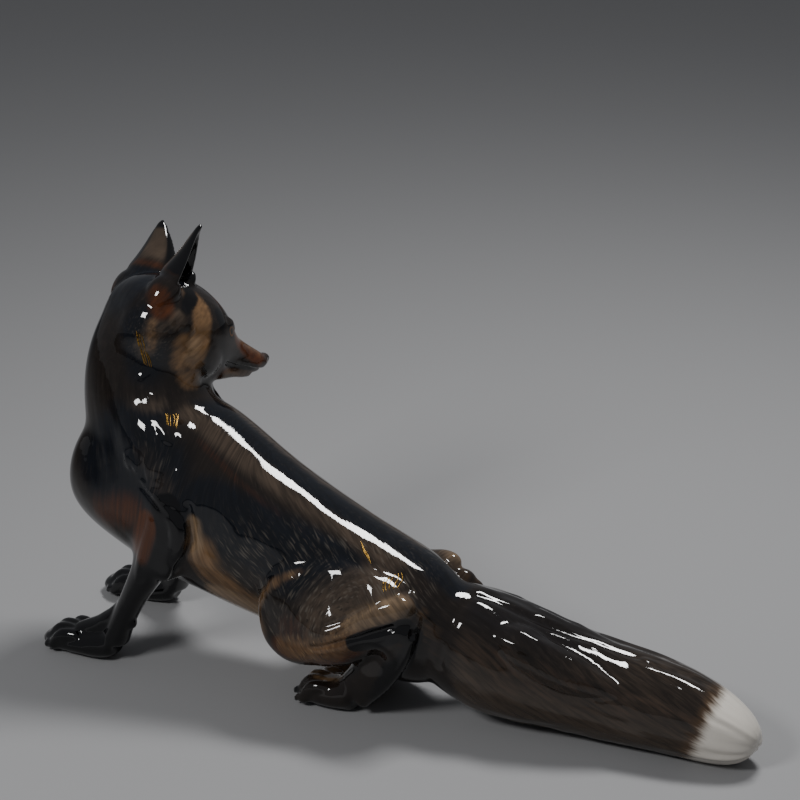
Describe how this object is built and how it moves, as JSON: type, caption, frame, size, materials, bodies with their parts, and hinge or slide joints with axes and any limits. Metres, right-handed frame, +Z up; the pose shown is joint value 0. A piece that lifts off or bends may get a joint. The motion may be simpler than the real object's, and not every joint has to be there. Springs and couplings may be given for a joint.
{
  "type": "fox figurine",
  "caption": "Large glazed porcelain figurine of a crouching fox that looks back over its shoulder, with its brush laid along the surface behind it.",
  "frame": {"origin": "middle of the figure's footprint, on the surface that it stands on", "axes": "+X from the chest towards the tail's tip, -Y towards the fox's left flank, +Z up"},
  "size_m": [0.4073, 0.1106, 0.2342],
  "materials": {
    "glaze": "gloss"
  },
  "bodies": {
    "root": {"torso": "glaze", "head": "glaze", "left_ear": "glaze", "right_ear": "glaze", "left_foreleg": "glaze", "right_foreleg": "glaze", "left_hind_leg": "glaze", "right_hind_leg": "glaze", "tail": "glaze"}
  },
  "joints": []
}
